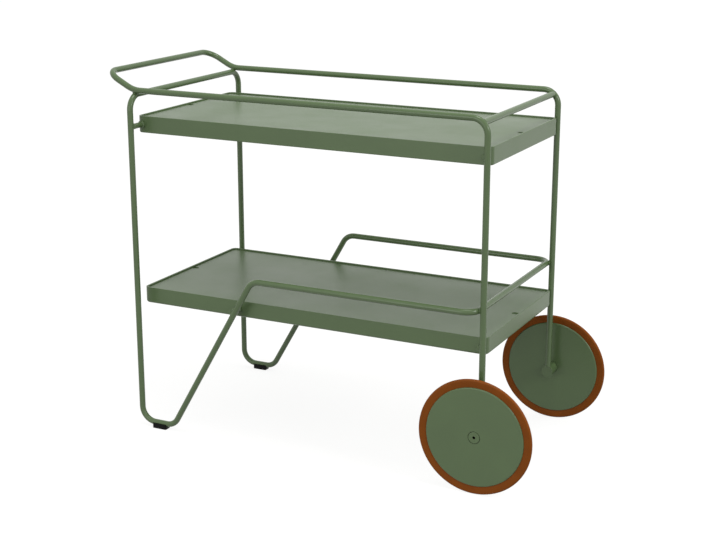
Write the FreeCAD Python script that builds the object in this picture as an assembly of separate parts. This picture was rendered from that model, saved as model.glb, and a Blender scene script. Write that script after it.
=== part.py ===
import FreeCAD, Part
import math
import os

os.makedirs("parts", exist_ok=True)

V = FreeCAD.Vector

# ---------------------------------------------------------------- driving dimensions, mm
# frame tube
tube_d = 12.0
tube_wall = 1.5
bend_r = 30.0
arm_bend_r = 60.0

# layout of the frame; the origin is on the floor under the middle of the whole trolley
leg_spacing = 746.0
handle_reach = 64.0
rail_half_y = 187.0
loop_out = 17.5
rail_z = 696.5
handle_rise = 32.5
arm_corner_out = 2.0
lower_rail_z = 344.0
diagonal_angle = 60.0
foot_flat = 29.5

# wheels and axles
wheel_r = 112.0
disc_t = 8.0
disc_edge_round = 2.4
disc_sheet = 1.5
tyre_depth = 15.7
tongue_reach = 5.7
tyre_w = 6.8
hub_r = 12.0
axle_r = 5.0
axle_head_r = 8.0
axle_head_t = 1.6
axle_in_sleeve = 26.0
sleeve_r = 12.0
sleeve_length = 30.5
washer_r = 10.0
washer_t = 0.7
cap_t = 1.5
cap_proud = 0.4
cap_chamfer = 0.35
cap_hole_r = 2.0

# foot pads
pad_floor = 4.5
pad_width = 17.0
pad_over = 1.5
pad_round = 3.0

# trays
tray_overhang = 4.5
tray_side_gap = 5.0
tray_height = 33.5
tray_corner_r = 12.0
tray_sheet = 1.2
rim_t = 4.0
rim_round = 0.8
ledge_w = 20.0
upper_tray_drop = 52.0
lower_tray_drop = 53.0
upper_bottom_round = 2.0
lower_bottom_round = 5.0

# lift-out panels and the ribs under them
panel_recess = 2.8
panel_gap = 2.0
panel_sheet = 2.0
notch_w = 12.0
notch_depth = 12.5
rib_half_y = 85.0
rib_end_gap = 60.0
rib_w = 20.0
rib_flange = 10.0
rib_h = 14.0
rib_sheet = 1.2

# spacers between tube and tray
back_spacer_r = 5.0
front_spacer_r = 4.0
collar_r = 6.0
collar_len = 4.0

# clearances
running_fit = 0.05
body_gap = 0.3
weld_bite = 0.2

# ---------------------------------------------------------------- derived positions
tube_r = tube_d / 2.0
overall_length = tube_r + handle_reach + leg_spacing + wheel_r
handle_x = -overall_length / 2.0 + tube_r
left_leg_x = handle_x + handle_reach
axle_x = left_leg_x + leg_spacing
loop_half_y = rail_half_y + loop_out
handle_z = rail_z + handle_rise
arm_corner_x = left_leg_x - arm_corner_out
foot_z = pad_floor + tube_r
diagonal_foot_x = left_leg_x + bend_r + foot_flat + bend_r * math.tan(math.radians(diagonal_angle / 2.0))

# The loop's bends touch the legs and the rails side on: centre lines one tube apart.
bend_reach = math.sqrt((2.0 * tube_r + bend_r - weld_bite) ** 2 - (bend_r - loop_out) ** 2)
end_rail_x = axle_x - bend_reach + bend_r

arm_rise = math.atan2(handle_z - rail_z, arm_corner_x - handle_x)
arm_bend_start = arm_corner_x + arm_bend_r * math.tan(arm_rise / 2.0)
crossing_rise = arm_bend_r - math.sqrt(arm_bend_r ** 2 - (arm_bend_start - left_leg_x) ** 2)
crossbar_z = rail_z + crossing_rise - bend_reach + bend_r

cross_rail_turn = math.asin((end_rail_x - axle_x + bend_r) / bend_r)
cross_rail_z = rail_z - bend_r + bend_r * math.cos(cross_rail_turn)

tray_length = leg_spacing + 2.0 * tray_overhang
tray_mid_x = (left_leg_x + axle_x) / 2.0
tray_half_y = rail_half_y - tube_r - tray_side_gap
upper_tray_top = rail_z - upper_tray_drop
lower_tray_top = lower_rail_z - lower_tray_drop
ledge_drop = panel_recess + panel_sheet
rib_length = tray_length - 2.0 * rib_end_gap

disc_face_r = wheel_r - tyre_depth
tongue_r = disc_face_r + tongue_reach

sleeve_inner_y = rail_half_y - tube_r
sleeve_end_y = sleeve_inner_y + sleeve_length
wheel_inner_y = sleeve_end_y + washer_t + body_gap
wheel_mid_y = wheel_inner_y + disc_t / 2.0
wheel_outer_y = wheel_inner_y + disc_t
cap_seat_y = wheel_outer_y + cap_proud - cap_t
head_outer_y = cap_seat_y - body_gap
head_inner_y = head_outer_y - axle_head_t
counterbore_y = head_inner_y - body_gap
counterbore_r = axle_head_r + body_gap


# ---------------------------------------------------------------- helpers
def cylinder_y(radius, y_from, y_to, x, z):
    """A round bar along Y between two y values."""
    low = min(y_from, y_to)
    return Part.makeCylinder(radius, abs(y_to - y_from), V(x, low, z), V(0, 1, 0))


def centre_line(points, radii):
    """A wire through the corner points, with a round bend of the given radius at each inner corner."""
    edges = []
    start = points[0]
    for i in range(1, len(points) - 1):
        corner = points[i]
        way_in = (corner - points[i - 1]).normalize()
        way_out = (points[i + 1] - corner).normalize()
        turn = way_in.getAngle(way_out)
        reach = radii[i - 1] * math.tan(turn / 2.0)
        first = corner - way_in * reach
        last = corner + way_out * reach
        inward = (way_out - way_in).normalize()
        middle = corner + inward * (radii[i - 1] / math.cos(turn / 2.0) - radii[i - 1])
        if (first - start).Length > 0.01:
            edges.append(Part.makeLine(start, first))
        edges.append(Part.Arc(first, middle, last).toShape())
        start = last
    if (points[-1] - start).Length > 0.01:
        edges.append(Part.makeLine(start, points[-1]))
    return Part.Wire(edges)


def sweep_round(wire, direction, radius):
    """A round bar of the given radius along a wire that starts in the given direction."""
    start = wire.OrderedVertexes[0].Point
    circle = Part.Wire([Part.makeCircle(radius, start, direction)])
    return Part.Solid(wire.makePipeShell([circle], True, False))


def bent_tube(points, radii):
    """A hollow tube bent round the corner points."""
    wire = centre_line(points, radii)
    direction = (points[1] - points[0]).normalize()
    outside = sweep_round(wire, direction, tube_r)
    inside = sweep_round(wire, direction, tube_r - tube_wall)
    return outside.cut(inside)


def rounded_box(length, half_y, z_low, z_high, corner, x_mid):
    """An upright box with round vertical corners, centred in Y on the trolley."""
    box = Part.makeBox(length, 2.0 * half_y, z_high - z_low, V(x_mid - length / 2.0, -half_y, z_low))
    upright = [e for e in box.Edges if abs(e.tangentAt(e.FirstParameter).z) > 0.99]
    return box.makeFillet(corner, upright)


def round_bottom(solid, z_low, radius):
    """Round every edge that lies in the solid's bottom plane."""
    flat = [e for e in solid.Edges if abs(e.BoundBox.ZMin - z_low) < 0.01 and abs(e.BoundBox.ZMax - z_low) < 0.01]
    return solid.makeFillet(radius, flat)


# ---------------------------------------------------------------- frame
def rail_side_path(side):
    """Corner points of one wheel leg, its top rail and the arm that rises to the handle."""
    y = side * rail_half_y
    arm_step = V(-math.cos(arm_rise), 0, math.sin(arm_rise))
    arm_end = V(handle_x, y, handle_z) - arm_step * bend_r
    return [V(axle_x, y, wheel_r), V(axle_x, y, rail_z), V(arm_corner_x, y, rail_z), arm_end]


def rail_side(side):
    """Leg, top rail and arm in one bent tube; its foot is coped onto the axle sleeve."""
    tube = bent_tube(rail_side_path(side), [bend_r, arm_bend_r])
    seat = cylinder_y(sleeve_r, side * (rail_half_y - tube_d), side * (rail_half_y + tube_d), axle_x, wheel_r)
    return tube.cut(seat)


def rail_side_outline(side):
    """The same tube without its hollow, for coping what is welded to it."""
    points = rail_side_path(side)
    wire = centre_line(points, [bend_r, arm_bend_r])
    return sweep_round(wire, (points[1] - points[0]).normalize(), tube_r)


def handle_bar():
    """The push bar: a straight across the trolley with a bend at each end, in the plane of the arms."""
    near_corner = V(handle_x, -rail_half_y, handle_z)
    far_corner = V(handle_x, rail_half_y, handle_z)
    arm_step = V(-math.cos(arm_rise), 0, math.sin(arm_rise))
    points = [near_corner - arm_step * bend_r, near_corner, far_corner, far_corner - arm_step * bend_r]
    return bent_tube(points, [bend_r, bend_r])


def top_cross_rail(outlines):
    """Straight rail between the two top bends, coped onto them."""
    wire = centre_line([V(end_rail_x, -rail_half_y, cross_rail_z), V(end_rail_x, rail_half_y, cross_rail_z)], [])
    outside = sweep_round(wire, V(0, 1, 0), tube_r)
    inside = sweep_round(wire, V(0, 1, 0), tube_r - tube_wall)
    rail = outside.cut(inside)
    for outline in outlines:
        rail = rail.cut(outline)
    return rail


def loop_side_path(side):
    """Corner points of one back leg, its foot, the diagonal and the lower rail."""
    y = side * loop_half_y
    rise = lower_rail_z - foot_z
    diagonal_top_x = diagonal_foot_x + rise / math.tan(math.radians(diagonal_angle))
    return [
        V(left_leg_x, y, crossbar_z - bend_r),
        V(left_leg_x, y, foot_z),
        V(diagonal_foot_x, y, foot_z),
        V(diagonal_top_x, y, lower_rail_z),
        V(end_rail_x - bend_r, y, lower_rail_z),
    ]


def loop_side(side):
    """Back leg, foot, diagonal and lower rail in one bent tube."""
    return bent_tube(loop_side_path(side), [bend_r, bend_r, bend_r])


def loop_side_outline(side):
    """The same tube without its hollow."""
    points = loop_side_path(side)
    wire = centre_line(points, [bend_r, bend_r, bend_r])
    return sweep_round(wire, (points[1] - points[0]).normalize(), tube_r)


def left_crossbar(outlines):
    """The loop's top bar at the handle end, with a bend down to each back leg."""
    low = crossbar_z - bend_r
    points = [
        V(left_leg_x, -loop_half_y, low),
        V(left_leg_x, -loop_half_y, crossbar_z),
        V(left_leg_x, loop_half_y, crossbar_z),
        V(left_leg_x, loop_half_y, low),
    ]
    bar = bent_tube(points, [bend_r, bend_r])
    for outline in outlines:
        bar = bar.cut(outline)
    return bar


def lower_end_rail(outlines):
    """The loop's end bar over the lower tray, with a bend back to each lower rail."""
    x = end_rail_x - bend_r
    points = [
        V(x, -loop_half_y, lower_rail_z),
        V(end_rail_x, -loop_half_y, lower_rail_z),
        V(end_rail_x, loop_half_y, lower_rail_z),
        V(x, loop_half_y, lower_rail_z),
    ]
    rail = bent_tube(points, [bend_r, bend_r])
    for outline in outlines:
        rail = rail.cut(outline)
    return rail


def foot_pad(side, outline):
    """Pad clipped under the flat of the foot; its top half holds the tube."""
    flat_from = left_leg_x + bend_r
    flat_to = diagonal_foot_x - bend_r * math.tan(math.radians(diagonal_angle / 2.0))
    length = flat_to - flat_from + 2.0 * pad_over
    block = Part.makeBox(length, pad_width, foot_z, V(flat_from - pad_over, side * loop_half_y - pad_width / 2.0, 0))
    upright = [e for e in block.Edges if abs(e.tangentAt(e.FirstParameter).z) > 0.99]
    return block.makeFillet(pad_round, upright).cut(outline)


# ---------------------------------------------------------------- trays
def tray_outline(top, bottom_round):
    """A tray's outer shape, without its hollow."""
    low = top - tray_height
    body = rounded_box(tray_length, tray_half_y, low, top, tray_corner_r, tray_mid_x)
    return round_bottom(body, low, bottom_round)


def inset_box(inset, corner, z_low, z_high):
    """A tray-shaped box whose walls stand in from the tray's outer walls."""
    return rounded_box(tray_length - 2.0 * inset, tray_half_y - inset, z_low, z_high, corner, tray_mid_x)


def tray_pan(top, bottom_round):
    """Folded sheet tray: its rim turns in, down and in again, and ends in a ledge for the panel."""
    floor = top - tray_height + tray_sheet
    under_rim = top - tray_sheet
    ledge_top = top - ledge_drop
    ledge_low = ledge_top - tray_sheet
    rim_corner = tray_corner_r - rim_t
    hollow = inset_box(tray_sheet, tray_corner_r - tray_sheet, floor, under_rim)
    hollow = round_bottom(hollow, floor, max(bottom_round - tray_sheet, 0.5))
    fold = inset_box(rim_t - tray_sheet, rim_corner + tray_sheet, ledge_low, under_rim)
    mouth = inset_box(rim_t, rim_corner, ledge_top, top + 1.0)
    opening = inset_box(rim_t + ledge_w, rim_corner, ledge_low - 1.0, top)
    pan = tray_outline(top, bottom_round).cut(hollow).fuse(fold).cut(mouth).cut(opening).removeSplitter()
    crest = [e for e in pan.Edges if e.BoundBox.ZMin > top - 0.01]
    return pan.makeFillet(rim_round, crest)


def panel(top):
    """Lift-out panel: a flat sheet on the ledge, with a round-ended finger notch at each short end."""
    inset = rim_t + panel_gap
    face = top - panel_recess
    body = inset_box(inset, tray_corner_r - inset, face - panel_sheet, face)
    for end in (-1, 1):
        edge_x = tray_mid_x + end * (tray_length / 2.0 - inset)
        body = body.cut(notch(edge_x, -end, face))
    return body


def notch(edge_x, inward, face):
    """The shape cut out of a panel for a fingertip, from its edge inwards."""
    radius = notch_w / 2.0
    middle_x = edge_x + inward * (notch_depth - radius)
    low = face - 2.0 * panel_sheet
    height = 3.0 * panel_sheet
    end = Part.makeCylinder(radius, height, V(middle_x, 0, low))
    start_x = min(edge_x - inward, middle_x)
    run = abs(middle_x - edge_x) + 1.0
    return end.fuse(Part.makeBox(run, notch_w, height, V(start_x, -radius, low)))


def rib(top, side):
    """Hat-shaped rib welded under a panel along its length."""
    high = top - ledge_drop
    low = high - rib_h
    half = rib_w / 2.0
    reach = half + rib_flange
    outline = [
        (-reach, high),
        (-reach, high - rib_sheet),
        (-half, high - rib_sheet),
        (-half, low),
        (half, low),
        (half, high - rib_sheet),
        (reach, high - rib_sheet),
        (reach, high),
        (half - rib_sheet, high),
        (half - rib_sheet, low + rib_sheet),
        (-half + rib_sheet, low + rib_sheet),
        (-half + rib_sheet, high),
        (-reach, high),
    ]
    x = tray_mid_x - rib_length / 2.0
    wire = Part.makePolygon([V(x, side * rib_half_y + y, z) for y, z in outline])
    return Part.Face(wire).extrude(V(rib_length, 0, 0))


def front_spacer(top, side, tube_outline, outline):
    """Short round spacer from a wheel leg to the tray's corner, coped at both ends."""
    z = top - tray_height / 2.0
    wall_end = side * (tray_half_y - tray_corner_r)
    bar = cylinder_y(front_spacer_r, side * rail_half_y, wall_end, axle_x, z)
    return bar.cut(outline).cut(tube_outline)


def back_spacer(x, top, side, tube_outline, outline):
    """Round spacer from the loop to the tray wall, with a collar at the wall; both ends are coped."""
    z = top - tray_height / 2.0
    wall_end = side * (tray_half_y - tray_corner_r)
    bar = cylinder_y(back_spacer_r, side * loop_half_y, wall_end, x, z)
    collar = cylinder_y(collar_r, wall_end, side * (tray_half_y + collar_len), x, z)
    return bar.fuse(collar).cut(outline).cut(tube_outline).removeSplitter()


# ---------------------------------------------------------------- wheels and axles
def turned(points, side):
    """Turn a (radius, y) profile about the axle's line, on the near or the far side."""
    wire = Part.makePolygon([V(axle_x + r, side * y, wheel_r) for r, y in points])
    return Part.Face(wire).revolve(V(axle_x, 0, wheel_r), V(0, 1, 0), 360)


def axle_sleeve(side):
    """Blind sleeve across the foot of the wheel leg."""
    bar = cylinder_y(sleeve_r, side * sleeve_inner_y, side * sleeve_end_y, axle_x, wheel_r)
    bore = cylinder_y(axle_r, side * (sleeve_end_y - axle_in_sleeve), side * (sleeve_end_y + 1.0), axle_x, wheel_r)
    return bar.cut(bore)


def axle(side):
    """Stub axle with a head inside the hub."""
    shaft = cylinder_y(axle_r, side * (sleeve_end_y - axle_in_sleeve), side * head_inner_y, axle_x, wheel_r)
    head = cylinder_y(axle_head_r, side * head_inner_y, side * head_outer_y, axle_x, wheel_r)
    return shaft.fuse(head)


def axle_washer(side):
    """Thrust washer on the end of the sleeve."""
    ring = cylinder_y(washer_r, side * sleeve_end_y, side * (sleeve_end_y + washer_t), axle_x, wheel_r)
    hole = cylinder_y(axle_r, side * sleeve_end_y, side * (sleeve_end_y + washer_t), axle_x, wheel_r)
    return ring.cut(hole)


def on_circle(edge, radius, y):
    """Whether an edge is the circle of that radius about the axle's line at that y."""
    box = edge.BoundBox
    return abs(box.YMin - y) < 0.01 and abs(box.YMax - y) < 0.01 and abs(box.XMax - axle_x - radius) < 0.01


def wheel_shell(side, way):
    """One pressed half of the wheel disc; its flange is half of the tongue that holds the tyre.

    way is 1 for the half that faces out and -1 for the half that faces the frame.
    """
    half = disc_t / 2.0
    profile = [
        (hub_r, half),
        (disc_face_r, half),
        (disc_face_r, disc_sheet),
        (tongue_r, disc_sheet),
        (tongue_r, 0.0),
        (disc_face_r - disc_sheet, 0.0),
        (disc_face_r - disc_sheet, half - disc_sheet),
        (hub_r, half - disc_sheet),
        (hub_r, half),
    ]
    body = turned([(r, wheel_mid_y + way * y) for r, y in profile], side)
    face_y = side * (wheel_mid_y + way * half)
    inside_y = side * (wheel_mid_y + way * (half - disc_sheet))
    outer_rim = [e for e in body.Edges if on_circle(e, disc_face_r, face_y)]
    body = body.makeFillet(disc_edge_round, outer_rim)
    inner_rim = [e for e in body.Edges if on_circle(e, disc_face_r - disc_sheet, inside_y)]
    return body.makeFillet(disc_edge_round - disc_sheet, inner_rim)


def wheel_tyre(side):
    """Tyre ring with a groove for the disc's tongue and a half-round tread."""
    half = tyre_w / 2.0
    flat_r = wheel_r - half
    inner = wheel_mid_y - half
    outer = wheel_mid_y + half
    groove_in = wheel_mid_y - disc_sheet
    groove_out = wheel_mid_y + disc_sheet
    corners = [
        (flat_r, inner),
        (disc_face_r, inner),
        (disc_face_r, groove_in),
        (tongue_r, groove_in),
        (tongue_r, groove_out),
        (disc_face_r, groove_out),
        (disc_face_r, outer),
        (flat_r, outer),
    ]
    points = [V(axle_x + r, side * y, wheel_r) for r, y in corners]
    tread = Part.Arc(points[-1], V(axle_x + wheel_r, side * wheel_mid_y, wheel_r), points[0]).toShape()
    wire = Part.Wire([Part.makeLine(a, b) for a, b in zip(points, points[1:])] + [tread])
    return Part.Face(wire).revolve(V(axle_x, 0, wheel_r), V(0, 1, 0), 360)


def wheel_bush(side):
    """Bush that turns on the axle, with a recess for the axle's head."""
    bore = axle_r + running_fit
    return turned(
        [
            (bore, wheel_inner_y),
            (hub_r, wheel_inner_y),
            (hub_r, cap_seat_y),
            (counterbore_r, cap_seat_y),
            (counterbore_r, counterbore_y),
            (bore, counterbore_y),
            (bore, wheel_inner_y),
        ],
        side,
    )


def wheel_cap(side):
    """Round cap that closes the hub, with a small hole in its middle."""
    plate = cylinder_y(hub_r, side * cap_seat_y, side * (cap_seat_y + cap_t), axle_x, wheel_r)
    hole = cylinder_y(cap_hole_r, side * (cap_seat_y - 1.0), side * (cap_seat_y + cap_t + 1.0), axle_x, wheel_r)
    face_y = side * (cap_seat_y + cap_t)
    rim = [e for e in plate.Edges if on_circle(e, hub_r, face_y)]
    return plate.makeChamfer(cap_chamfer, rim).cut(hole)


# ---------------------------------------------------------------- build
def build():
    """Every node's shape by name."""
    nodes = {}
    sides = (("near", -1), ("far", 1))
    rails = {name: rail_side_outline(side) for name, side in sides}
    loops = {name: loop_side_outline(side) for name, side in sides}
    nodes["handle_bar"] = handle_bar()
    nodes["top_cross_rail"] = top_cross_rail(rails.values())
    nodes["left_crossbar"] = left_crossbar(rails.values())
    nodes["lower_end_rail"] = lower_end_rail(rails.values())
    trays = (
        ("upper", upper_tray_top, upper_bottom_round),
        ("lower", lower_tray_top, lower_bottom_round),
    )
    for tray, top, bottom_round in trays:
        nodes[tray + "_tray_pan"] = tray_pan(top, bottom_round)
        nodes[tray + "_panel"] = panel(top)
    for name, side in sides:
        nodes[name + "_rail_leg"] = rail_side(side)
        nodes[name + "_loop_side"] = loop_side(side)
        nodes[name + "_foot_pad"] = foot_pad(side, loops[name])
        nodes[name + "_axle_sleeve"] = axle_sleeve(side)
        nodes[name + "_axle_washer"] = axle_washer(side)
        nodes[name + "_axle"] = axle(side)
        nodes[name + "_wheel_outer_disc"] = wheel_shell(side, 1)
        nodes[name + "_wheel_inner_disc"] = wheel_shell(side, -1)
        nodes[name + "_wheel_tyre"] = wheel_tyre(side)
        nodes[name + "_wheel_bush"] = wheel_bush(side)
        nodes[name + "_wheel_cap"] = wheel_cap(side)
        for tray, top, bottom_round in trays:
            outline = tray_outline(top, bottom_round)
            mid_z = top - tray_height / 2.0
            diagonal_x = diagonal_foot_x + (mid_z - foot_z) / math.tan(math.radians(diagonal_angle))
            back_x = left_leg_x if tray == "upper" else diagonal_x
            place = tray + "_" + name
            nodes[place + "_rib"] = rib(top, side)
            nodes[place + "_back_spacer"] = back_spacer(back_x, top, side, loops[name], outline)
            nodes[place + "_front_spacer"] = front_spacer(top, side, rails[name], outline)
    return nodes


for node_name, node_shape in build().items():
    node_shape.exportStep("parts/" + node_name + ".step")
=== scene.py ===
import math

import bmesh
import bpy
import numpy as np
from bpy.props import FloatProperty, FloatVectorProperty, IntProperty, PointerProperty, StringProperty
from bpy.types import Operator, Panel, PropertyGroup
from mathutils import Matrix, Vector


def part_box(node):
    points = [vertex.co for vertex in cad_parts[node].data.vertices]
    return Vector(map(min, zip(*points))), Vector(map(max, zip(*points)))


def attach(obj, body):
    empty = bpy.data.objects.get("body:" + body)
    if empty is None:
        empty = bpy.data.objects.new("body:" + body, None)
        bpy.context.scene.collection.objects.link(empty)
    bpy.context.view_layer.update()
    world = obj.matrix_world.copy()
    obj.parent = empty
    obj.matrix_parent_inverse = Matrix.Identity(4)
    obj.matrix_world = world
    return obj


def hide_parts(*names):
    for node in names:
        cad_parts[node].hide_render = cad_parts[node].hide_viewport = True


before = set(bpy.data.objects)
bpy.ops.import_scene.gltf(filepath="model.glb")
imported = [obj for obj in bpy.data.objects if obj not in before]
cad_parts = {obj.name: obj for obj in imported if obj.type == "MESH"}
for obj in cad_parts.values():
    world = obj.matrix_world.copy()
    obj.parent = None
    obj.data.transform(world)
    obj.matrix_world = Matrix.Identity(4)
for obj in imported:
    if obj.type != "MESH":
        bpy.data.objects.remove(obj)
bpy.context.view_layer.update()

bl_info = {
    "name": "Cheese trolley",
    "version": (1, 0, 0),
    "blender": (4, 5, 0),
    "location": "View3D > Sidebar > Trolley",
    "description": "Finishes, fixings, welds and studio for the bent-tube cheese trolley",
    "category": "Object",
}

MM = 0.001
SIDES = (("near", -1), ("far", 1))
# how steeply the loop's diagonals rise
DIAGONAL_RISE = math.radians(60.0)

# how far the light rounds an edge, and the coat's refractive index, on tubes and on folded sheet
TUBE_EDGE, TUBE_INDEX = 0.4 * MM, 1.44
SHEET_EDGE, SHEET_INDEX = 0.7 * MM, 1.47
STEEL_COLOUR = "#242526"
PAPER_COLOUR = "#7A7A78"
WHITE = (1.0, 1.0, 1.0, 1.0)

# points closer than this are one point, and faces that meet more steeply than this keep a sharp edge
SAME_PLACE = 0.0001 * MM
SHARP_ANGLE = math.radians(32.0)
# chamfer of the cap's and the axle's edges, height of the lip at the tyre's root, and depth of the
# cone at the bottom of the axle's centre hole in radii of the hole
TURNED_EDGE = 0.35 * MM
TYRE_LIP = 0.3 * MM
CONE_DEPTH = 0.6
# how many places round a turned tyre, cap or axle, and spacer, and how many points along the tyre's
# side and its tread
TYRE_PLACES, HUB_PLACES, SPACER_PLACES = 288, 192, 96
SIDE_POINTS, TREAD_POINTS = 14, 25
# how far a weld bead swells with each of the welder's steps, and the length of a step
BEAD_SWELL = 0.07
BEAD_STEP = 2.2 * MM

# name, place, power in W and side in metres of each soft lamp
LAMPS = (
    ("key_right", (3.2, -0.7, 1.9), 29.0, 0.9),
    ("top_soft", (0.5, -0.3, 3.4), 26.0, 0.8),
    ("front_soft", (-0.6, -3.2, 1.1), 17.0, 1.4),
)
# where the lamps point, and the sensor width in mm that the lens setting goes with
LAMP_AIM = (0.0, 0.0, 0.35)
SENSOR_WIDTH = 36.0


# ---------------------------------------------------------------- sizes and colours a user would change
class PaintSettings(PropertyGroup):
    """The powder coat that covers tubes, trays, panels and discs."""

    colour: StringProperty(
        name="Paint colour", description="Grey-green of the powder coat, as an sRGB hex value",
        default="#526642",
    )
    sheet_roughness: FloatProperty(
        name="Sheet roughness", description="How broad the highlights on flat sheet are", default=0.33,
        min=0.0, max=1.0,
    )
    tube_roughness: FloatProperty(
        name="Tube roughness", description="How broad the highlights on the tubes are", default=0.24,
        min=0.0, max=1.0,
    )
    orange_peel: FloatProperty(
        name="Orange peel", description="Width of the coat's ripples", default=2.4 * MM,
        min=0.5 * MM, max=10.0 * MM, precision=5, unit="LENGTH",
    )


class RubberSettings(PropertyGroup):
    """The tyres, the foot pads and the hub bushes."""

    tyre_colour: StringProperty(
        name="Tyre colour", description="Terracotta of the tyres, as an sRGB hex value", default="#7E4311"
    )
    pad_colour: StringProperty(
        name="Pad colour", description="Black of the foot pads, as an sRGB hex value", default="#040404"
    )
    # the nylon's own black, which also paints the shade in the thin gap round each hub cap, where the bush
    # shows
    bush_and_gap_shade_colour: StringProperty(
        name="Bush colour", description="Black of the nylon bush in each hub, as an sRGB hex value",
        default="#0A0A0A",
    )
    grain: FloatProperty(
        name="Rubber grain", description="Width of the moulded rubber's grain", default=1.6 * MM,
        min=0.3 * MM, max=6.0 * MM, precision=5, unit="LENGTH",
    )


class WheelSettings(PropertyGroup):
    """The tyres, the hub caps and the stub axles."""

    tyre_depth: FloatProperty(
        name="Tyre depth", description="From the disc's rim to the tread", default=15.7 * MM,
        precision=5, unit="LENGTH",
    )
    tyre_root: FloatProperty(
        name="Tyre root", description="Width of the tyre at the disc's rim", default=4.4 * MM,
        precision=5, unit="LENGTH",
    )
    tongue_reach: FloatProperty(
        name="Tongue reach", description="How far the disc's tongue goes into the tyre", default=5.7 * MM,
        precision=5, unit="LENGTH",
    )
    tongue_width: FloatProperty(
        name="Tongue width", description="Width of the groove for the disc's tongue", default=3.0 * MM,
        precision=5, unit="LENGTH",
    )
    cap_gap: FloatProperty(
        name="Cap gap", description="Gap between the hub cap and the disc", default=0.9 * MM,
        precision=5, unit="LENGTH",
    )
    cap_hole: FloatProperty(
        name="Cap hole", description="Radius of the hole in the hub cap", default=2.8 * MM,
        precision=5, unit="LENGTH",
    )
    axle_radius: FloatProperty(
        name="Axle radius", description="Radius of the stub axle", default=5.0 * MM,
        precision=5, unit="LENGTH",
    )
    head_thickness: FloatProperty(
        name="Axle head", description="Thickness of the axle's head", default=1.6 * MM,
        precision=5, unit="LENGTH",
    )
    centre_hole: FloatProperty(
        name="Centre hole", description="Radius of the lathe's centre hole in the axle", default=3.4 * MM,
        precision=5, unit="LENGTH",
    )
    centre_depth: FloatProperty(
        name="Centre hole depth", description="Depth of the centre hole", default=12.0 * MM,
        precision=5, unit="LENGTH",
    )


class SpacerSettings(PropertyGroup):
    """The round bars that hold the trays off the tubes."""

    radius: FloatProperty(
        name="Radius", description="Radius of a spacer", default=5.5 * MM,
        precision=5, unit="LENGTH",
    )
    beside: FloatProperty(
        name="Beside the tube", description="From a tube's centre line to its spacer's", default=7.0 * MM,
        precision=5, unit="LENGTH",
    )
    chamfer: FloatProperty(
        name="Chamfer", description="Chamfer of a spacer's open end and of its collar",
        default=0.6 * MM, precision=5, unit="LENGTH",
    )
    collar_radius: FloatProperty(
        name="Collar radius", description="Radius of the collar at the wall, on the back spacers",
        default=7.5 * MM, precision=5, unit="LENGTH",
    )
    collar_length: FloatProperty(
        name="Collar length", description="How far a collar stands out from the wall", default=4.0 * MM,
        precision=5, unit="LENGTH",
    )
    in_wall: FloatProperty(
        name="In the wall", description="How far a spacer runs into the tray's wall", default=2.0 * MM,
        precision=5, unit="LENGTH",
    )


class WeldSettings(PropertyGroup):
    """The weld beads where tubes and spacers meet."""

    bead_radius: FloatProperty(
        name="Bead radius", description="Radius of a weld bead between two tubes", default=1.2 * MM,
        precision=5, unit="LENGTH",
    )
    spacer_bead_radius: FloatProperty(
        name="Spacer bead radius", description="Radius of the bead round a spacer", default=0.9 * MM,
        precision=5, unit="LENGTH",
    )


class StageSettings(PropertyGroup):
    """The camera, the lamps and the floor."""

    eye: FloatVectorProperty(
        name="Camera place", description="Where the camera stands", default=(1.2521, -2.4896, 1.1140),
        size=3, subtype="TRANSLATION",
    )
    turn: FloatProperty(
        name="Camera turn", description="Turn about the vertical", default=math.radians(26.62),
        subtype="ANGLE",
    )
    tilt: FloatProperty(
        name="Camera tilt", description="How far the camera looks down", default=math.radians(15.678),
        subtype="ANGLE",
    )
    lens: FloatProperty(name="Lens", description="Focal length on a 36 mm frame, in mm", default=71.70)
    fill: FloatProperty(
        name="Fill", description="Strength of the even light all round", default=0.9, min=0.0,
    )
    floor_glow: FloatProperty(
        name="Floor white", description="White that the camera sees on top of the lit floor", default=0.85,
        min=0.0, max=1.0,
    )
    floor_size: IntProperty(
        name="Floor size", description="Side of the floor, in metres", default=60, min=5,
    )


# ---------------------------------------------------------------- colour and nodes
def linear(code):
    """An sRGB hex value as linear RGBA.

    A channel c becomes c / 12.92 up to 0.04045, and ((c + 0.055) / 1.055) ^ 2.4 above it.
    """
    srgb = np.array([int(code.lstrip("#")[i:i + 2], 16) for i in (0, 2, 4)]) / 255.0
    low = srgb / 12.92
    high = ((srgb + 0.055) / 1.055) ** 2.4
    return (*np.where(srgb <= 0.04045, low, high).tolist(), 1.0)


def add(tree, kind, settings=None, inputs=None):
    """Adds a node to a tree; inputs are values, or sockets to link from."""
    node = tree.nodes.new(kind)
    for key, value in (settings or {}).items():
        setattr(node, key, value)
    for key, value in (inputs or {}).items():
        if isinstance(value, bpy.types.NodeSocket):
            tree.links.new(value, node.inputs[key])
        else:
            node.inputs[key].default_value = value
    return node


def blank(name):
    """A material with an empty node tree and its output node."""
    material = bpy.data.materials.new(name)
    material.use_nodes = True
    material.node_tree.nodes.clear()
    return material, material.node_tree, add(material.node_tree, "ShaderNodeOutputMaterial")


def background_rays(tree):
    """1 for the rays that show the background: camera, glossy and transmission rays; else 0."""
    path = add(tree, "ShaderNodeLightPath")
    direct = add(tree, "ShaderNodeMath", {"operation": "MAXIMUM"},
                 {0: path.outputs["Is Camera Ray"], 1: path.outputs["Is Glossy Ray"]})
    every = add(tree, "ShaderNodeMath", {"operation": "MAXIMUM"},
                {0: direct.outputs[0], 1: path.outputs["Is Transmission Ray"]})
    return every.outputs[0]


def product(tree, first, second):
    """The product of two values."""
    return add(tree, "ShaderNodeMath", {"operation": "MULTIPLY"}, {0: first, 1: second}).outputs[0]


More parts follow.
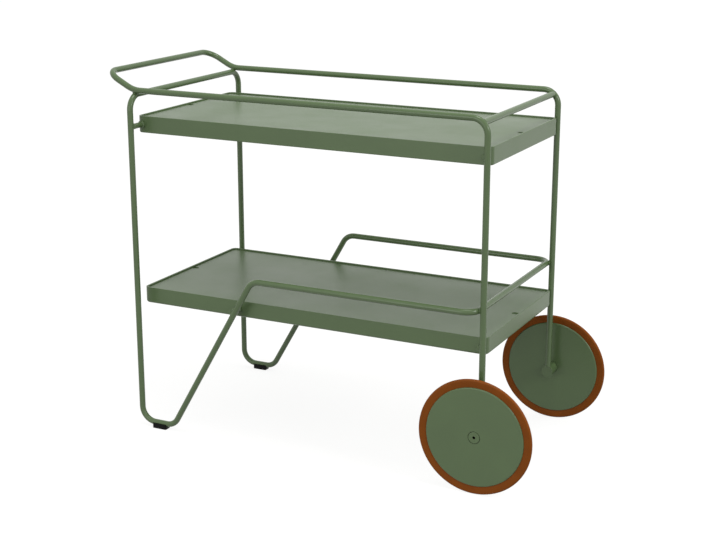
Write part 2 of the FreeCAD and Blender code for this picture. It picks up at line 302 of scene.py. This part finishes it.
def noise(tree, place, width, detail, roughness=0.5):
    """Noise whose broadest waves are about the given width."""
    return add(tree, "ShaderNodeTexNoise", None,
               {"Vector": place, "Scale": 1.0 / width, "Detail": detail,
                "Roughness": roughness}).outputs["Fac"]


def ranged(tree, value, low, high, least=0.3, most=0.7):
    """A noise value carried from its usual spread, least to most, to low to high."""
    return add(tree, "ShaderNodeMapRange", None,
               {"Value": value, "From Min": least, "From Max": most,
                "To Min": low, "To Max": high}).outputs[0]


def shaded(tree, code, tone):
    """An sRGB hex colour times a tone that stays near 1."""
    return add(tree, "ShaderNodeVectorMath", {"operation": "SCALE"},
               {0: linear(code)[:3], "Scale": tone}).outputs[0]


def powder_coated_steel(name, settings, edge, index, roughness):
    """Polyester powder coat baked on steel.

    What the eye gets: one even grey-green with a soft satin sheen, a faint ripple that breaks up the
    highlights, slow clouds where the coat is thicker, and folded edges that catch a thin light line.
    The index and the roughness are fitted to the photograph, not measured.
    """
    material, tree, out = blank(name)
    place = add(tree, "ShaderNodeTexCoord").outputs["Object"]
    # the coat's thickness drifts over about 90 mm, and its tone with it by a few percent
    cloud = noise(tree, place, 90.0 * MM, 3.0, 0.55)
    tone = ranged(tree, cloud, 0.965, 1.035)
    # powder grain of about 0.15 mm, drawn at 0.9 mm so that it shows
    grain = noise(tree, place, 0.9 * MM, 2.0, 0.6)
    grain_tone = ranged(tree, grain, 0.975, 1.025)
    colour = shaded(tree, settings.colour, product(tree, tone, grain_tone))
    rough = ranged(tree, cloud, roughness - 0.03, roughness + 0.04)
    ripple = noise(tree, place, settings.orange_peel, 1.5, 0.4)
    soft_edge = add(tree, "ShaderNodeBevel", {"samples": 4}, {"Radius": edge})
    bump = add(tree, "ShaderNodeBump", None,
               {"Height": ripple, "Strength": 0.35, "Distance": 0.05 * MM, "Normal": soft_edge.outputs[0]})
    coat = add(tree, "ShaderNodeBsdfPrincipled", None,
               {"Base Color": colour, "Roughness": rough, "IOR": index, "Normal": bump.outputs[0]})
    tree.links.new(coat.outputs[0], out.inputs["Surface"])
    return material


def moulded_rubber(name, code, settings, grain_shading):
    """Rubber, or the bushes' nylon, moulded and left as it comes from the tool.

    What the eye gets: a dull coloured body, a fine even grain, and a slow change of tone where the
    mould was warmer. The colour also follows the grain's height, with painted shade in its hollows and a
    painted highlight on its tops. The specular level and the roughness are fitted to the photograph, not
    measured.
    """
    material, tree, out = blank(name)
    place = add(tree, "ShaderNodeTexCoord").outputs["Object"]
    # the tone drifts over about 35 mm
    cloud = noise(tree, place, 35.0 * MM, 3.0)
    grain = noise(tree, place, settings.grain, 3.0, 0.65)
    tone = ranged(tree, cloud, 0.9, 1.08)
    # painted shade in the grain's hollows and a painted highlight on its tops: the tone follows the same
    # grain that the bump raises
    grain_tone = ranged(tree, grain, 1.0 - grain_shading, 1.0 + grain_shading, least=0.35)
    colour = shaded(tree, code, product(tree, tone, grain_tone))
    rough = ranged(tree, grain, 0.36, 0.46)
    bump = add(tree, "ShaderNodeBump", None, {"Height": grain, "Strength": 0.5, "Distance": 0.06 * MM})
    rubber = add(tree, "ShaderNodeBsdfPrincipled", None,
                 {"Base Color": colour, "Roughness": rough, "IOR": 1.52, "Specular IOR Level": 0.1,
                  "Normal": bump.outputs[0]})
    tree.links.new(rubber.outputs[0], out.inputs["Surface"])
    return material


def turned_steel(name):
    """Mild steel turned on a lathe and blackened.

    What the eye gets: a near-black metal with fine rings round the axle's line, from the tool's feed of
    about 0.2 mm, drawn at 0.6 mm so that they show.
    """
    material, tree, out = blank(name)
    place = add(tree, "ShaderNodeTexCoord").outputs["Object"]
    middle = [(a + b) / 2.0 for a, b in zip(*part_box("near_axle"))]
    centred = add(tree, "ShaderNodeMapping", None,
                  {"Vector": place, "Location": (-middle[0], 0.0, -middle[2]), "Scale": (1.0, 0.0, 1.0)})
    radius = add(tree, "ShaderNodeVectorMath", {"operation": "LENGTH"}, {0: centred.outputs[0]})
    turns = product(tree, radius.outputs["Value"], 2.0 * math.pi / (0.6 * MM))
    rings = add(tree, "ShaderNodeMath", {"operation": "SINE"}, {0: turns})
    # a haze that changes over about 4 mm dulls the rings unevenly
    haze = noise(tree, place, 4.0 * MM, 4.0)
    rough = ranged(tree, haze, 0.28, 0.42)
    colour = shaded(tree, STEEL_COLOUR, ranged(tree, haze, 0.92, 1.04))
    bump = add(tree, "ShaderNodeBump", None,
               {"Height": rings.outputs[0], "Strength": 0.3, "Distance": 0.01 * MM})
    steel = add(tree, "ShaderNodeBsdfPrincipled", None,
                {"Base Color": colour, "Metallic": 1.0, "Roughness": rough, "Normal": bump.outputs[0]})
    tree.links.new(steel.outputs[0], out.inputs["Surface"])
    return material


def dress(nodes, material):
    """Gives CAD nodes a material in their own slots."""
    for name in nodes:
        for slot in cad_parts[name].material_slots:
            slot.material = material


def nodes_ending(*ends):
    """The names of the CAD nodes that end in one of the given words."""
    return [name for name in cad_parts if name.endswith(ends)]


# ---------------------------------------------------------------- surfaces
def surface_piece(name, grids, body, material, poles=False):
    """One mesh from closed grids of points.

    Each grid is an array [ring, place on ring, xyz]. Neighbours i, i+1 along the rings and j, j+1 round
    them make one quad; i and j are taken modulo their counts, so that the grid closes both ways. With
    poles, the first and the last place of every ring lie on one point each, where the grid ends.
    """
    points, quads, start = [], [], 0
    for grid in grids:
        rings, count = grid.shape[:2]
        i = np.arange(rings)[:, None]
        j = np.arange(count - 1 if poles else count)
        after_i = (i + 1) % rings
        after_j = (j + 1) % count
        face = np.stack([i * count + j, i * count + after_j,
                         after_i * count + after_j, after_i * count + j], axis=-1)
        quads.append(face.reshape(-1, 4) + start)
        points.append(grid.reshape(-1, 3))
        start += rings * count
    mesh = bpy.data.meshes.new(name)
    mesh.from_pydata(np.concatenate(points).tolist(), [], np.concatenate(quads).tolist())
    work = bmesh.new()
    work.from_mesh(mesh)
    bmesh.ops.remove_doubles(work, verts=work.verts, dist=SAME_PLACE)
    bmesh.ops.recalc_face_normals(work, faces=work.faces)
    work.to_mesh(mesh)
    work.free()
    mesh.polygons.foreach_set("use_smooth", np.ones(len(mesh.polygons), dtype=bool))
    mesh.set_sharp_from_angle(angle=SHARP_ANGLE)
    mesh.materials.append(material)
    piece = bpy.data.objects.new(name, mesh)
    bpy.context.scene.collection.objects.link(piece)
    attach(piece, body)
    return piece


def turned(profile, centre, count=HUB_PLACES):
    """A profile turned about a line along Y.

    Point j of the profile is (radius, y); turned by the angle t it lies at
    centre + (radius cos t, y, radius sin t).
    """
    turn = np.linspace(0.0, 2.0 * np.pi, count, endpoint=False)[:, None]
    radius = profile[:, 0]
    y = np.broadcast_to(profile[:, 1], (count, len(profile)))
    return centre + np.stack([radius * np.cos(turn), y, radius * np.sin(turn)], axis=-1)


def tyre_profile(wheel, half, settings):
    """Half-plane outline (radius, y) of a tyre, closed on itself.

    The groove for the disc's tongue is straight lines. Each side is the arc through the root's edge that
    runs level at the shoulder: radius = shoulder + A sin a, y = half - A + A cos a, with
    A = ((shoulder - inner)^2 + swell^2) / (2 swell) and swell = half - root. The tread is the half circle
    radius = shoulder + half cos a, y = half sin a.
    """
    inner = wheel - settings.tyre_depth
    shoulder = wheel - half
    root = settings.tyre_root / 2.0
    tongue = settings.tongue_width / 2.0
    swell = half - root
    arc = ((shoulder - inner) ** 2 + swell ** 2) / (2.0 * swell)
    side_turn = np.linspace(-math.asin((shoulder - inner - TYRE_LIP) / arc), 0.0, SIDE_POINTS)
    side = np.stack([shoulder + arc * np.sin(side_turn), half - arc + arc * np.cos(side_turn)], axis=-1)
    tread_turn = np.linspace(math.pi / 2.0, -math.pi / 2.0, TREAD_POINTS)[1:-1]
    tread = np.stack([shoulder + half * np.cos(tread_turn), half * np.sin(tread_turn)], axis=-1)
    deep = inner + settings.tongue_reach
    groove = np.array([(inner, TYRE_LIP - root), (inner, -tongue), (deep, -tongue),
                       (deep, tongue), (inner, tongue), (inner, root - TYRE_LIP)])
    other_side = side[::-1] * (1.0, -1.0)
    return np.concatenate([groove, side, tread, other_side])


def bead(path, outward, radius, sides=10):
    """A weld bead: a circle carried round a closed path.

    At path point p(s) the circle is p + r (n cos t + b sin t). n is the outward direction made square to
    the path, b is square to both, and r is the given radius times 1 + BEAD_SWELL sin(2 pi N s / L), with
    L the path's length and N the whole number of welder's steps that fits round it best.
    """
    ahead = np.roll(path, -1, axis=0) - np.roll(path, 1, axis=0)
    ahead /= np.linalg.norm(ahead, axis=1)[:, None]
    normal = outward - np.sum(outward * ahead, axis=1)[:, None] * ahead
    normal /= np.linalg.norm(normal, axis=1)[:, None]
    other = np.cross(ahead, normal)
    step = np.linalg.norm(np.roll(path, -1, axis=0) - path, axis=1)
    run = np.concatenate([[0.0], np.cumsum(step)[:-1]])
    waves = max(round(step.sum() / BEAD_STEP), 1)
    swell = (radius * (1.0 + BEAD_SWELL * np.sin(2.0 * np.pi * waves * run / step.sum())))[:, None, None]
    turn = np.linspace(0.0, 2.0 * np.pi, sides, endpoint=False)
    ring = normal[:, None] * np.cos(turn)[None, :, None] + other[:, None] * np.sin(turn)[None, :, None]
    return path[:, None] + swell * ring


def upright_on_bar(tube, bar, centre, radius, count=96):
    """The bead where an upright tube stands on a bar that runs along Y, across it.

    x = R cos t, y = R sin t, z = sqrt(B^2 - x^2), with R the tube's radius and B the bar's, from the
    point where their centre lines cross; t is the angle round the tube. The bead faces outward and 0.4
    upward.
    """
    turn = np.linspace(0.0, 2.0 * np.pi, count, endpoint=False)
    x = tube * np.cos(turn)
    path = np.stack([x, tube * np.sin(turn), np.sqrt(bar ** 2 - x ** 2)], axis=-1)
    outward = np.stack([np.cos(turn), np.sin(turn), np.full(count, 0.4)], axis=-1)
    return bead(centre + path, outward, radius)


def rail_on_bend(tube, bend, crossing, radial, side, radius, count=96):
    """The bead where a rail along Y ends on the outside of a tube of its own size, in a bend.

    Round the rail, v = R cos t lies along the bend's radius and u = R sin t along its tangent. The bend's
    centre line passes w = hypot(B + v, u) - B away from that point, so its surface, and the bead, stand
    sqrt(R^2 - w^2) in from the bend's plane. The bead's radius times 0.35 + 0.65 |sin t| thins it to
    about a third where the surfaces run together. It faces out from the rail, and 0.5 inward.
    """
    turn = np.linspace(0.0, 2.0 * np.pi, count, endpoint=False)
    v = tube * np.cos(turn)
    u = tube * np.sin(turn)
    away = np.hypot(bend + v, u) - bend
    inward = np.sqrt(np.maximum(tube ** 2 - away ** 2, 0.0))
    tangent = np.array([radial[2], 0.0, -radial[0]])
    middle = np.array([0.0, -side, 0.0])
    spread = np.cos(turn)[:, None] * radial + np.sin(turn)[:, None] * tangent
    path = crossing + tube * spread + inward[:, None] * middle
    return bead(path, spread + 0.5 * middle, radius * (0.35 + 0.65 * np.abs(np.sin(turn))))


def round_touch(tube, along, crosswise, middle, radius, count=72):
    """The bead round the point where two tubes of one size cross at a right angle and touch.

    A bead centre stands b off both tubes, so it lies R + b from each centre line; b is 0.55 of the
    bead's radius, so that the bead runs into both. In the plane between the tubes its distance s from
    the point where they touch, squared, is 2 k / (1 + sqrt(1 + k c^2 / (2 R^2))), with
    k = 2 ((R + b)^2 - R^2), c = cos 2t and t its angle from the first tube's direction; it stands
    s^2 c / (4 R) towards the other tube.
    """
    off = 0.55 * radius
    turn = np.linspace(0.0, 2.0 * np.pi, count, endpoint=False)
    k = 2.0 * ((tube + off) ** 2 - tube ** 2)
    c = np.cos(2.0 * turn)
    square = 2.0 * k / (1.0 + np.sqrt(1.0 + k * c ** 2 / (2.0 * tube ** 2)))
    spread = np.cos(turn)[:, None] * along + np.sin(turn)[:, None] * crosswise
    height = square * c / (4.0 * tube)
    path = middle + np.sqrt(square)[:, None] * spread + height[:, None] * np.cross(along, crosswise)
    return bead(path, spread, radius)


def touching_bend(bend_middle, axis_point, along, tube, bend, radius):
    """The bead where a straight tube passes the outside of a bend side on.

    The line from the bend's middle to the straight tube's centre line is square to both tubes. The
    tubes touch on it, halfway between the bend's centre line and the straight one.
    """
    out = axis_point - bend_middle
    span = np.linalg.norm(out)
    out = out / span
    middle = bend_middle + out * (bend + span) / 2.0
    return round_touch(tube, np.cross(along, out), along, middle, radius)


def spacer_on_tube(tube, spacer, offset, centre, away, side, radius, count=56):
    """The bead round a spacer whose side is coped onto a tube beside it.

    Round the spacer, at angle t, its surface lies d = offset + S cos t from the tube's middle plane along
    the direction away from the tube, where S is the spacer's radius. It meets the tube sqrt(R^2 - d^2)
    in from the spacer's end while d < R, and between the two angles where d = R the bead runs straight
    along the edge of the end face. It faces out from the end, and 0.2 away from the tube.
    """
    first = math.acos((tube - offset) / spacer)
    turn = np.linspace(first, 2.0 * np.pi - first, count)
    distance = offset + spacer * np.cos(turn)
    inward = np.sqrt(np.maximum(tube ** 2 - distance ** 2, 0.0))
    height = spacer * np.sin(turn)
    edge = np.linspace(height[-1], height[0], count // 2)[1:-1]
    distance = np.concatenate([distance, np.full(len(edge), tube)])
    inward = np.concatenate([inward, np.zeros(len(edge))])
    height = np.concatenate([height, edge])
    upward = np.array([-away[2], 0.0, away[0]])
    middle = np.array([0.0, -side, 0.0])
    path = (centre + (distance - offset)[:, None] * away + height[:, None] * upward
            + inward[:, None] * middle)
    outward = -middle[None, :] + height[:, None] / spacer * upward + 0.2 * away
    return bead(path, outward, radius)


def middle_of(node):
    """The middle of a CAD node's box."""
    low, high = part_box(node)
    return np.array([(a + b) / 2.0 for a, b in zip(low, high)])


def across(node):
    """How far a CAD node's two ends along Y stand from the trolley's middle plane, the nearer first."""
    low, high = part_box(node)
    return sorted((abs(low[1]), abs(high[1])))


def spacer_places(settings):
    """Each spacer's centre in its tube's plane, the way off the tube, its side and whether it has a collar.

    The CAD's spacers stand straight behind their tubes. These stand beside the tubes, as in the
    photograph: inside the back legs, on the handle side of the diagonals and inside the wheel legs. So
    they are not where the nodes that they replace are, but settings.beside away across the tube.
    """
    x_way = np.array([1.0, 0.0, 0.0])
    off_diagonal = np.array([-math.sin(DIAGONAL_RISE), 0.0, math.cos(DIAGONAL_RISE)])
    places = []
    for name, side in SIDES:
        for tray, place, tube, away in (
            ("upper", "back", "loop_side", x_way),
            ("lower", "back", "loop_side", off_diagonal),
            ("upper", "front", "rail_leg", -x_way),
            ("lower", "front", "rail_leg", -x_way),
        ):
            centre = middle_of(f"{tray}_{name}_{place}_spacer")
            centre[1] = middle_of(f"{name}_{tube}")[1]
            # level with the CAD's spacer, so along a slanted tube the step is longer
            centre[0] += settings.beside / away[0]
            places.append((centre, away, side, place == "back"))
    return places


def half_size(node, axis):
    """Half the size of a CAD node's box along an axis; across a straight tube or bar, its radius."""
    low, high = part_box(node)
    return (high[axis] - low[axis]) / 2.0


# ---------------------------------------------------------------- operators
class TROLLEY_OT_paint(Operator):
    """Give the tubes, trays, panels, discs and caps their powder coat"""

    bl_idname = "trolley.paint"
    bl_label = "Powder coat"

    def execute(self, context):
        settings = context.scene.trolley_paint
        tubes = powder_coated_steel("powder_coated_tube", settings, TUBE_EDGE, TUBE_INDEX,
                                    settings.tube_roughness)
        sheets = powder_coated_steel("powder_coated_sheet", settings, SHEET_EDGE, SHEET_INDEX,
                                     settings.sheet_roughness)
        dress(nodes_ending("_rail_leg", "_loop_side", "handle_bar", "_cross_rail", "_crossbar", "_end_rail",
                           "_spacer", "_axle_sleeve"), tubes)
        dress(nodes_ending("_tray_pan", "_panel", "_rib", "_disc", "_wheel_cap"), sheets)
        return {"FINISHED"}


class TROLLEY_OT_rubber(Operator):
    """Give the tyres and the foot pads their rubber, and the hub bushes black nylon that paints the cap
    gap's shade too
    """

    bl_idname = "trolley.rubber"
    bl_label = "Rubber"

    def execute(self, context):
        settings = context.scene.trolley_rubber
        # the last number of each is how deep the painted shade and highlight that follow the rubber's grain
        # go
        for ending, name, colour, grain_shading in (
            ("_tyre", "terracotta_rubber", settings.tyre_colour, 0.05),
            ("_foot_pad", "black_rubber", settings.pad_colour, 0.15),
            # the bush's black is its nylon's own, and it also paints the shade in the gap round the hub cap
            ("_wheel_bush", "black_nylon_and_gap_shade", settings.bush_and_gap_shade_colour, 0.1),
        ):
            dress(nodes_ending(ending), moulded_rubber(name, colour, settings, grain_shading))
        return {"FINISHED"}


class TROLLEY_OT_steel(Operator):
    """Give the axles and washers their turned steel"""

    bl_idname = "trolley.steel"
    bl_label = "Turned steel"

    def execute(self, context):
        dress(nodes_ending("_axle", "_axle_washer"), turned_steel("turned_steel"))
        return {"FINISHED"}


class TROLLEY_OT_wheels(Operator):
    """Make the tyres, the hub caps and the stub axles, turned about the wheels' lines"""

    bl_idname = "trolley.wheels"
    bl_label = "Tyres, caps and axles"

    def execute(self, context):
        settings = context.scene.trolley_wheels
        edge = TURNED_EDGE
        for name, side in SIDES:
            tyre = f"{name}_wheel_tyre"
            centre = middle_of(tyre)
            outline = tyre_profile(half_size(tyre, 2), half_size(tyre, 1), settings)
            grid = turned(outline, centre, TYRE_PLACES)
            piece = surface_piece(f"{name}_tyre", [grid], f"{name}_wheel",
                                  bpy.data.materials["terracotta_rubber"])
            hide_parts(tyre)

            cap = f"{name}_wheel_cap"
            line = np.array([centre[0], 0.0, centre[2]])
            seat, face = across(cap)
            rim = half_size(cap, 2) - settings.cap_gap
            hole = settings.cap_hole
            outline = np.array([(hole, seat), (rim, seat), (rim, face - edge), (rim - edge, face),
                                (hole + edge / 2.0, face), (hole, face - edge / 2.0)])
            grid = turned(outline * (1.0, side), line)
            piece = surface_piece(f"{name}_hub_cap", [grid], f"{name}_wheel",
                                  bpy.data.materials["powder_coated_sheet"])
            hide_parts(cap)

            axle = f"{name}_axle"
            inner, outer = across(axle)
            head = half_size(axle, 2)
            shaft = settings.axle_radius
            neck = outer - settings.head_thickness
            bottom = outer - settings.centre_depth
            hole = settings.centre_hole
            outline = np.array([(0.0, inner), (shaft - edge, inner), (shaft, inner + edge), (shaft, neck),
                                (head, neck), (head, outer - edge), (head - edge, outer),
                                (hole + edge, outer), (hole, outer - edge), (hole, bottom),
                                (0.0, bottom - hole * CONE_DEPTH)])
            grid = turned(outline * (1.0, side), line)
            piece = surface_piece(f"{name}_stub_axle", [grid], "frame",
                                  bpy.data.materials["turned_steel"], poles=True)
            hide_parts(axle)
        return {"FINISHED"}


class TROLLEY_OT_spacers(Operator):
    """Stand a round spacer beside each tube, from its middle plane to the tray's wall"""

    bl_idname = "trolley.spacers"
    bl_label = "Spacers"

    def execute(self, context):
        settings = context.scene.trolley_spacers
        wall = across("upper_tray_pan")[1]
        wall_end = wall - settings.in_wall
        step = wall + settings.collar_length
        radius = settings.radius
        chamfer = settings.chamfer
        bars = []
        for centre, _, side, collared in spacer_places(settings):
            open_end = abs(centre[1])
            collar = settings.collar_radius if collared else radius
            outline = np.array([(0.0, wall_end), (collar, wall_end), (collar, step - chamfer),
                                (max(collar - chamfer, radius), step), (radius, step + chamfer),
                                (radius, open_end - chamfer), (radius - chamfer, open_end),
                                (0.0, open_end)])
            line = np.array([centre[0], 0.0, centre[2]])
            bars.append(turned(outline * (1.0, side), line, SPACER_PLACES))
        piece = surface_piece("tray_spacers", bars, "frame",
                              bpy.data.materials["powder_coated_tube"], poles=True)
        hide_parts(*nodes_ending("_spacer"))
        return {"FINISHED"}


class TROLLEY_OT_welds(Operator):
    """Run a weld bead round each place where tubes, sleeves and spacers meet"""

    bl_idname = "trolley.welds"
    bl_label = "Weld beads"

    def execute(self, context):
        settings = context.scene.trolley_welds
        spacers = context.scene.trolley_spacers
        radius = settings.bead_radius
        x_way, _, z_way = np.eye(3)
        tube = half_size("top_cross_rail", 0)
        cross_rail = middle_of("top_cross_rail")
        axle = middle_of("near_axle_sleeve")
        end_rail_low, end_rail_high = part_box("lower_end_rail")
        bar_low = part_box("left_crossbar")[0]
        bend = end_rail_high[0] - tube - end_rail_low[0]
        # how far along the bend's radius, from upright, the cross rail meets the top bends
        lean = math.asin((cross_rail[0] - axle[0] + bend) / bend)
        top_radial = np.array([math.sin(lean), 0.0, math.cos(lean)])
        beads = [spacer_on_tube(tube, spacers.radius, spacers.beside, centre, away, side,
                                settings.spacer_bead_radius)
                 for centre, away, side, _ in spacer_places(spacers)]
        for name, side in SIDES:
            leg_y = middle_of(f"{name}_rail_leg")[1]
            loop_y = middle_of(f"{name}_loop_side")[1]
            sleeve = middle_of(f"{name}_axle_sleeve")
            foot = np.array([sleeve[0], leg_y, sleeve[2]])
            beads.append(upright_on_bar(tube, half_size(f"{name}_axle_sleeve", 2), foot, radius))
            crossing = np.array([cross_rail[0], leg_y, cross_rail[2]])
            beads.append(rail_on_bend(tube, bend, crossing, top_radial, side, radius))

            bend_y = loop_y - side * bend
            end_bend = np.array([end_rail_low[0], bend_y, middle_of("lower_end_rail")[2]])
            leg_axis = np.array([sleeve[0], leg_y, end_bend[2]])
            beads.append(touching_bend(end_bend, leg_axis, z_way, tube, bend, radius))
            # the bar's bends touch the top rails at the reach at which the end rail's touch the legs
            bar_bend = np.array([middle_of("left_crossbar")[0], bend_y, bar_low[2]])
            rail_axis = np.array([bar_bend[0], leg_y, bar_bend[2] + leg_axis[0] - end_bend[0]])
            beads.append(touching_bend(bar_bend, rail_axis, x_way, tube, bend, radius))
        surface_piece("weld_beads", beads, "frame",
                      bpy.data.materials["powder_coated_tube"])
        return {"FINISHED"}


class TROLLEY_OT_stage(Operator):
    """Set up the floor, the lamps, the white surround and the camera"""

    bl_idname = "trolley.stage"
    bl_label = "Studio"

    def execute(self, context):
        settings = context.scene.trolley_stage
        scene = context.scene
        scene.view_settings.view_transform = "Standard"
        half = settings.floor_size / 2.0
        mesh = bpy.data.meshes.new("studio_floor")
        mesh.from_pydata([(-half, -half, 0.0), (half, -half, 0.0), (half, half, 0.0), (-half, half, 0.0)],
                         [], [(0, 1, 2, 3)])
        floor = bpy.data.objects.new("studio_floor", mesh)
        scene.collection.objects.link(floor)
        # matt grey paper that bounces little light; the camera sees it lifted to white, with its shadow
        material, tree, out = blank("studio_paper")
        glow = product(tree, background_rays(tree), settings.floor_glow)
        paper = add(tree, "ShaderNodeBsdfDiffuse", None, {"Color": linear(PAPER_COLOUR)})
        white = add(tree, "ShaderNodeEmission", None, {"Color": WHITE, "Strength": glow})
        both = add(tree, "ShaderNodeAddShader", None, {0: paper.outputs[0], 1: white.outputs[0]})
        tree.links.new(both.outputs[0], out.inputs["Surface"])
        mesh.materials.append(material)

        world = bpy.data.worlds.new("studio_surround")
        scene.world = world
        world.use_nodes = True
        tree = world.node_tree
        tree.nodes.clear()
        seen = background_rays(tree)
        fill = add(tree, "ShaderNodeBackground", None, {"Color": WHITE, "Strength": settings.fill})
        white = add(tree, "ShaderNodeBackground", None, {"Color": WHITE, "Strength": 1.0})
        mix = add(tree, "ShaderNodeMixShader", None, {0: seen, 1: fill.outputs[0], 2: white.outputs[0]})
        out = add(tree, "ShaderNodeOutputWorld")
        tree.links.new(mix.outputs[0], out.inputs["Surface"])

        for name, place, power, size in LAMPS:
            light = bpy.data.lights.new(name, "AREA")
            light.energy = power
            light.size = size
            lamp = bpy.data.objects.new(name, light)
            lamp.location = place
            aim = Vector(LAMP_AIM) - Vector(place)
            lamp.rotation_euler = aim.to_track_quat("-Z", "Y").to_euler()
            scene.collection.objects.link(lamp)

        data = bpy.data.cameras.new("studio_camera")
        data.sensor_fit = "HORIZONTAL"
        data.sensor_width = SENSOR_WIDTH
        data.lens = settings.lens
        # well past the floor's far edge
        data.clip_end = 200.0
        camera = bpy.data.objects.new("studio_camera", data)
        camera.location = settings.eye
        camera.rotation_euler = (math.pi / 2.0 - settings.tilt, 0.0, settings.turn)
        scene.collection.objects.link(camera)
        scene.camera = camera
        return {"FINISHED"}


STEPS = (TROLLEY_OT_stage, TROLLEY_OT_paint, TROLLEY_OT_rubber, TROLLEY_OT_steel, TROLLEY_OT_wheels,
         TROLLEY_OT_spacers, TROLLEY_OT_welds)
GROUPS = {
    "trolley_paint": PaintSettings,
    "trolley_rubber": RubberSettings,
    "trolley_wheels": WheelSettings,
    "trolley_spacers": SpacerSettings,
    "trolley_welds": WeldSettings,
    "trolley_stage": StageSettings,
}


class TROLLEY_PT_steps(Panel):
    """Lists the steps that dress the trolley and their settings"""

    bl_label = "Cheese trolley"
    bl_idname = "TROLLEY_PT_steps"
    bl_space_type = "VIEW_3D"
    bl_region_type = "UI"
    bl_category = "Trolley"

    def draw(self, context):
        for name, group in GROUPS.items():
            box = self.layout.box()
            box.label(text=group.__doc__)
            for key in group.__annotations__:
                box.prop(getattr(context.scene, name), key)
        for step in STEPS:
            self.layout.operator(step.bl_idname)


CLASSES = (*GROUPS.values(), *STEPS, TROLLEY_PT_steps)


def register():
    for cls in CLASSES:
        bpy.utils.register_class(cls)
    for name, group in GROUPS.items():
        setattr(bpy.types.Scene, name, PointerProperty(type=group))


def unregister():
    for name in GROUPS:
        delattr(bpy.types.Scene, name)
    for cls in reversed(CLASSES):
        bpy.utils.unregister_class(cls)


def main():
    """Registers the classes and runs each step in order."""
    register()
    bpy.ops.trolley.stage()
    bpy.ops.trolley.paint()
    bpy.ops.trolley.rubber()
    bpy.ops.trolley.steel()
    bpy.ops.trolley.wheels()
    bpy.ops.trolley.spacers()
    bpy.ops.trolley.welds()


if __name__ == "__main__":
    main()
